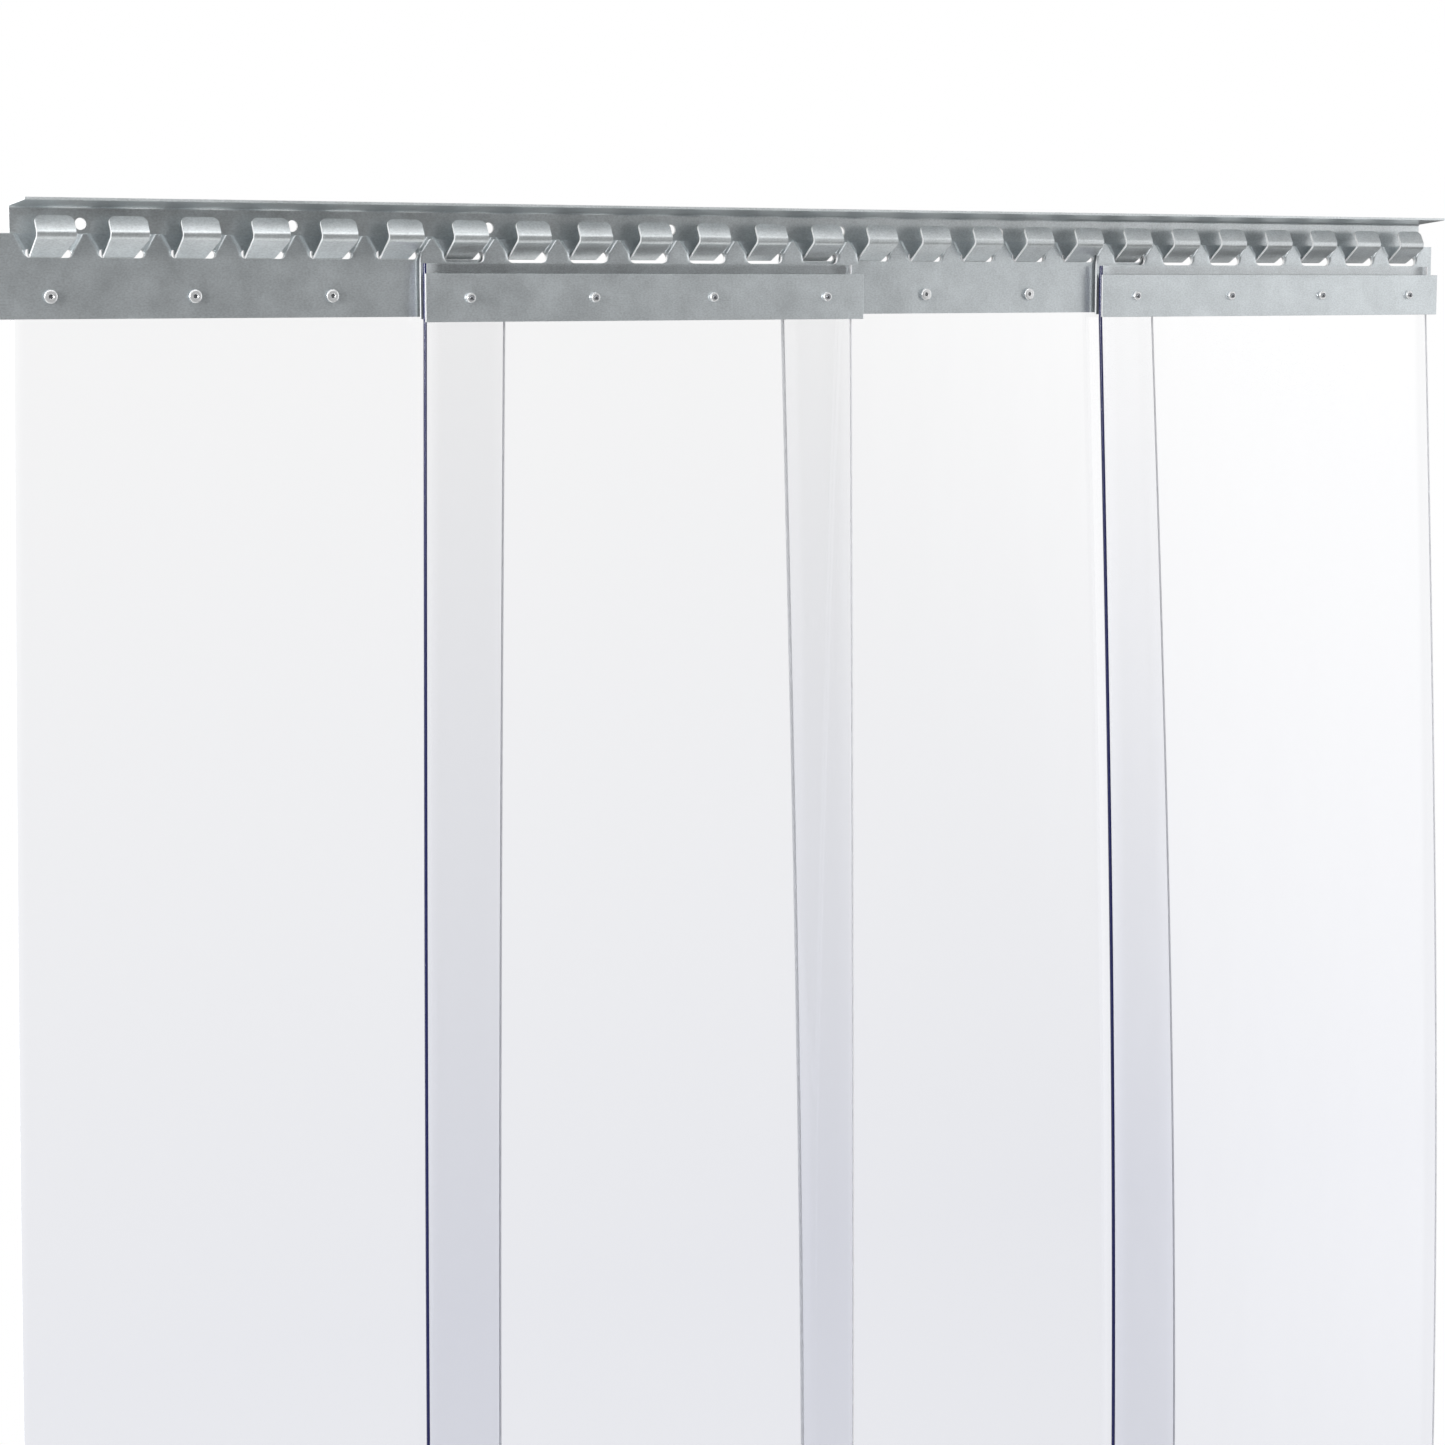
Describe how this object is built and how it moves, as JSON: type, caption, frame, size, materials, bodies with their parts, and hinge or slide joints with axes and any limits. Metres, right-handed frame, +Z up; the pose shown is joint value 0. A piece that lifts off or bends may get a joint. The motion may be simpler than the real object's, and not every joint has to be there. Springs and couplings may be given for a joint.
{
  "type": "pvc strip curtain",
  "caption": "Clear PVC strip door curtain: wide overlapping strips, each riveted between a slotted hanger plate and a clamp bar, hung on a steel rail with a comb of hooks.",
  "frame": {"origin": "on the rail's back face, halfway along the rail and level with its screw holes", "axes": "+X along the rail to the viewer's right, +Y into the wall, +Z up, with the strips hanging down"},
  "size_m": [1.0584, 0.0322, 2.0327],
  "materials": {
    "rail": "zinc-plated sheet steel, satin, bent on a press",
    "plate": "zinc-plated sheet steel, satin, punched and pressed",
    "clamp": "zinc-plated flat bar, satin",
    "strip": "clear soft PVC, smooth and glossy, with a slight blue-violet tint where strips overlap",
    "rivet": "bright drawn aluminium",
    "mandrel": "plain steel, broken off at the neck"
  },
  "bodies": {
    "rail": {"hook_rail": "rail"},
    "strip_set_1": {"hanger_plate_1": "plate", "pvc_strip_1": "strip", "clamp_bar_1": "clamp", "rivet_1_1": "rivet", "mandrel_1_1": "mandrel", "rivet_1_2": "rivet", "mandrel_1_2": "mandrel", "rivet_1_3": "rivet", "mandrel_1_3": "mandrel", "rivet_1_4": "rivet", "mandrel_1_4": "mandrel"},
    "strip_set_2": {"hanger_plate_2": "plate", "pvc_strip_2": "strip", "clamp_bar_2": "clamp", "rivet_2_1": "rivet", "mandrel_2_1": "mandrel", "rivet_2_2": "rivet", "mandrel_2_2": "mandrel", "rivet_2_3": "rivet", "mandrel_2_3": "mandrel", "rivet_2_4": "rivet", "mandrel_2_4": "mandrel"},
    "strip_set_3": {"hanger_plate_3": "plate", "pvc_strip_3": "strip", "clamp_bar_3": "clamp", "rivet_3_1": "rivet", "mandrel_3_1": "mandrel", "rivet_3_2": "rivet", "mandrel_3_2": "mandrel", "rivet_3_3": "rivet", "mandrel_3_3": "mandrel", "rivet_3_4": "rivet", "mandrel_3_4": "mandrel"},
    "strip_set_4": {"hanger_plate_4": "plate", "pvc_strip_4": "strip", "clamp_bar_4": "clamp", "rivet_4_1": "rivet", "mandrel_4_1": "mandrel", "rivet_4_2": "rivet", "mandrel_4_2": "mandrel", "rivet_4_3": "rivet", "mandrel_4_3": "mandrel", "rivet_4_4": "rivet", "mandrel_4_4": "mandrel"}
  },
  "joints": [
    {"name": "strip_set_1_swing", "type": "hinge", "parent": "rail", "child": "strip_set_1", "pos_m": [-0.3753, -0.00275, -0.0141], "axis": [1, 0, 0], "range_deg": [0, 7]},
    {"name": "strip_set_2_swing", "type": "hinge", "parent": "rail", "child": "strip_set_2", "pos_m": [-0.1251, -0.00625, -0.01338], "axis": [1, 0, 0], "range_deg": [-7, 0]},
    {"name": "strip_set_3_swing", "type": "hinge", "parent": "rail", "child": "strip_set_3", "pos_m": [0.1251, -0.00275, -0.0141], "axis": [1, 0, 0], "range_deg": [0, 7]},
    {"name": "strip_set_4_swing", "type": "hinge", "parent": "rail", "child": "strip_set_4", "pos_m": [0.3753, -0.00625, -0.01338], "axis": [1, 0, 0], "range_deg": [-7, 0]}
  ]
}
